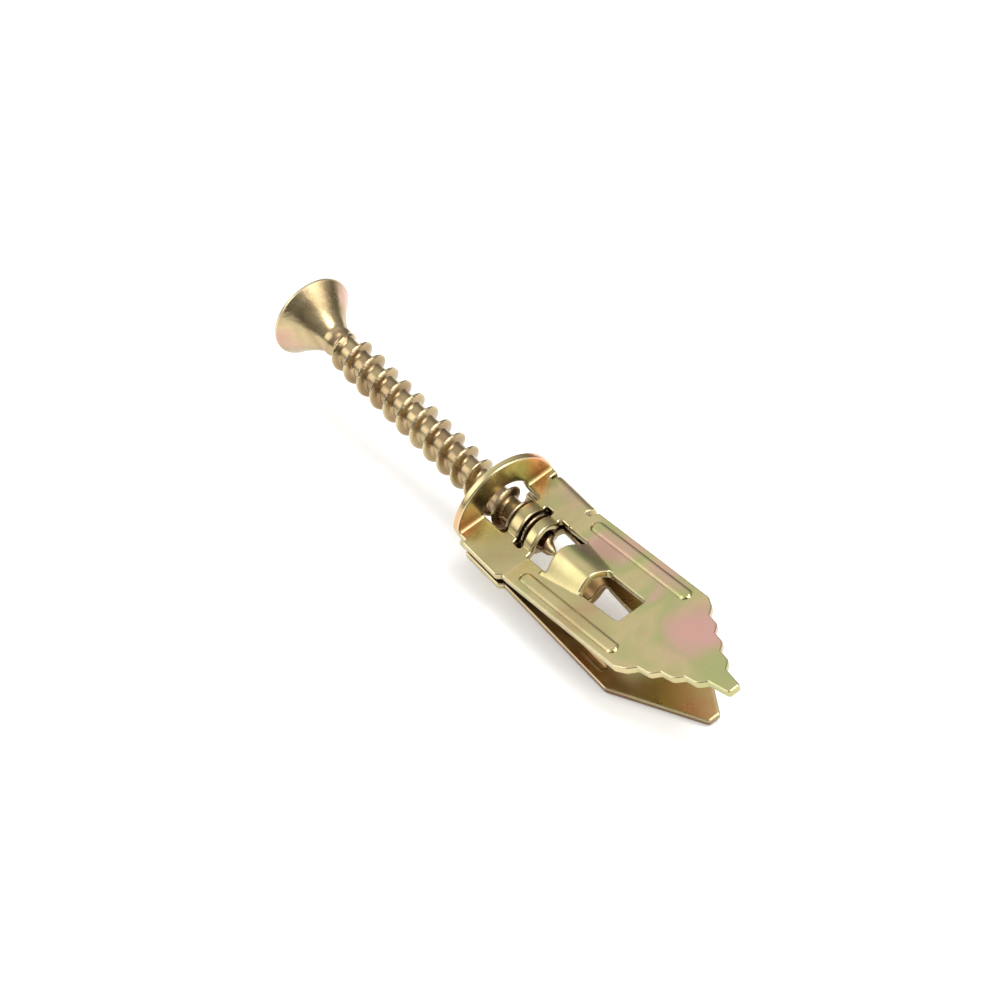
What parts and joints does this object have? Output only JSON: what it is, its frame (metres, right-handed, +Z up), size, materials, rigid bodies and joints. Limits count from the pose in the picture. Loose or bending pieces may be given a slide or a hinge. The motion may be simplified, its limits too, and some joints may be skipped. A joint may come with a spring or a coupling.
{
  "type": "wall anchor",
  "caption": "Folded sheet-steel plasterboard anchor with a split flange, two spreading pointed legs and the countersunk screw that threads through its bridge strips.",
  "frame": {"origin": "on the table under the middle of the anchor's bounding box, with the anchor lying as it rests", "axes": "+Z up from the table; +Y level, along the screw from the legs towards the screw head; +X to the folded side of the collar"},
  "size_m": [0.0142, 0.0764, 0.015],
  "materials": {
    "collar_sheet": "yellow zinc plated, iridescent, satin",
    "front_leg_sheet": "yellow zinc plated, iridescent, satin",
    "rear_leg_sheet": "yellow zinc plated, iridescent, satin",
    "screw_steel": "yellow zinc plated, smooth, semi-gloss"
  },
  "bodies": {
    "collar": {"folded_collar": "collar_sheet"},
    "front_leg": {"front_leg": "front_leg_sheet"},
    "rear_leg": {"rear_leg": "rear_leg_sheet"},
    "screw_core": {"screw_core": "screw_steel"},
    "screw": {"screw": "screw_steel"}
  },
  "joints": [
    {"name": "screw_advance", "type": "slide", "parent": "collar", "child": "screw_core", "axis": [0, -0.9944, -0.1058], "range_m": [-0.00245, 0.031]},
    {"name": "screw_turn", "type": "hinge", "parent": "screw_core", "child": "screw", "pos_m": [0.00057, 0.00163, 0.00626], "axis": [0, -0.9944, -0.1058], "range_deg": [-361, 4556]},
    {"name": "front_leg_spread", "type": "hinge", "parent": "collar", "child": "front_leg", "pos_m": [0.00033, -0.00577, 0.00632], "axis": [-0.9622, 0.0288, -0.2708], "range_deg": [-1.48, 18.61]},
    {"name": "rear_leg_spread", "type": "hinge", "parent": "collar", "child": "rear_leg", "pos_m": [0.0008, -0.00559, 0.00465], "axis": [0.9622, -0.0288, 0.2708], "range_deg": [-2.71, 34.11]}
  ],
  "couplings": [
    {"joint": "screw_turn", "follows": "screw_advance", "rad_per_m": 2564.6},
    {"joint": "front_leg_spread", "follows": "screw_advance", "rad_per_m": 10.472},
    {"joint": "rear_leg_spread", "follows": "screw_advance", "rad_per_m": 19.199}
  ]
}
